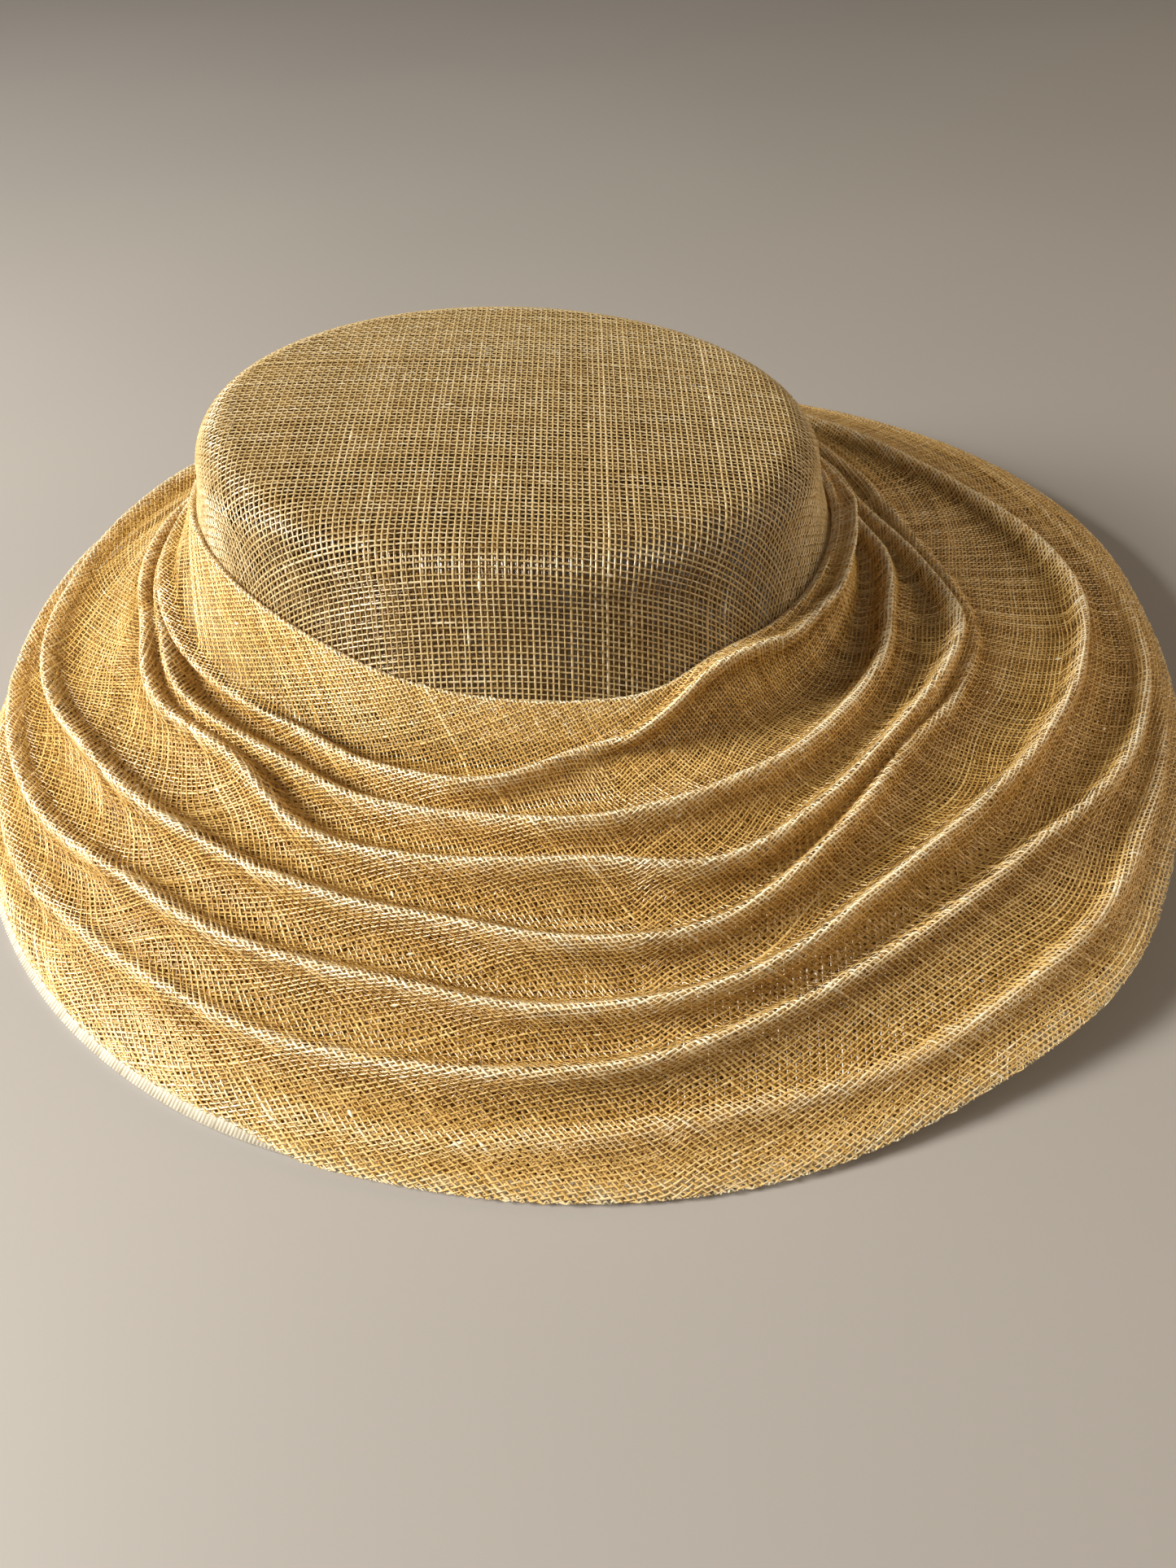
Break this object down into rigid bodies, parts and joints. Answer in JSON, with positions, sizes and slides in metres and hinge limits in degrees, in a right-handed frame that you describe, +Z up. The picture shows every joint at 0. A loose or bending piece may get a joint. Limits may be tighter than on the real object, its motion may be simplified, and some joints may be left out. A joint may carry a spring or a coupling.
{
  "type": "picture hat",
  "caption": "Wide-brimmed straw-coloured sinamay picture hat: oval blocked crown, shallow lifted brim, pleated swathe of sinamay over the brim, narrow ribbed ribbon at the edge.",
  "frame": {"origin": "bottom centre of the whole hat's box, on the surface that the brim stands on", "axes": "+Z up through the crown's top, +X towards the wider, lifted side of the brim along the long axis of the head oval, +Y away from the side that the picture shows"},
  "size_m": [0.3682, 0.3726, 0.0958],
  "materials": {
    "crown": "stiffened open sinamay weave, glossy fibres",
    "brim": "stiffened open sinamay weave",
    "drape": "soft pleated open sinamay weave, glossy fibres",
    "edge_ribbon": "matt ribbed ribbon"
  },
  "bodies": {
    "root": {"crown": "crown", "brim": "brim", "drape": "drape", "edge_ribbon": "edge_ribbon"}
  },
  "joints": []
}
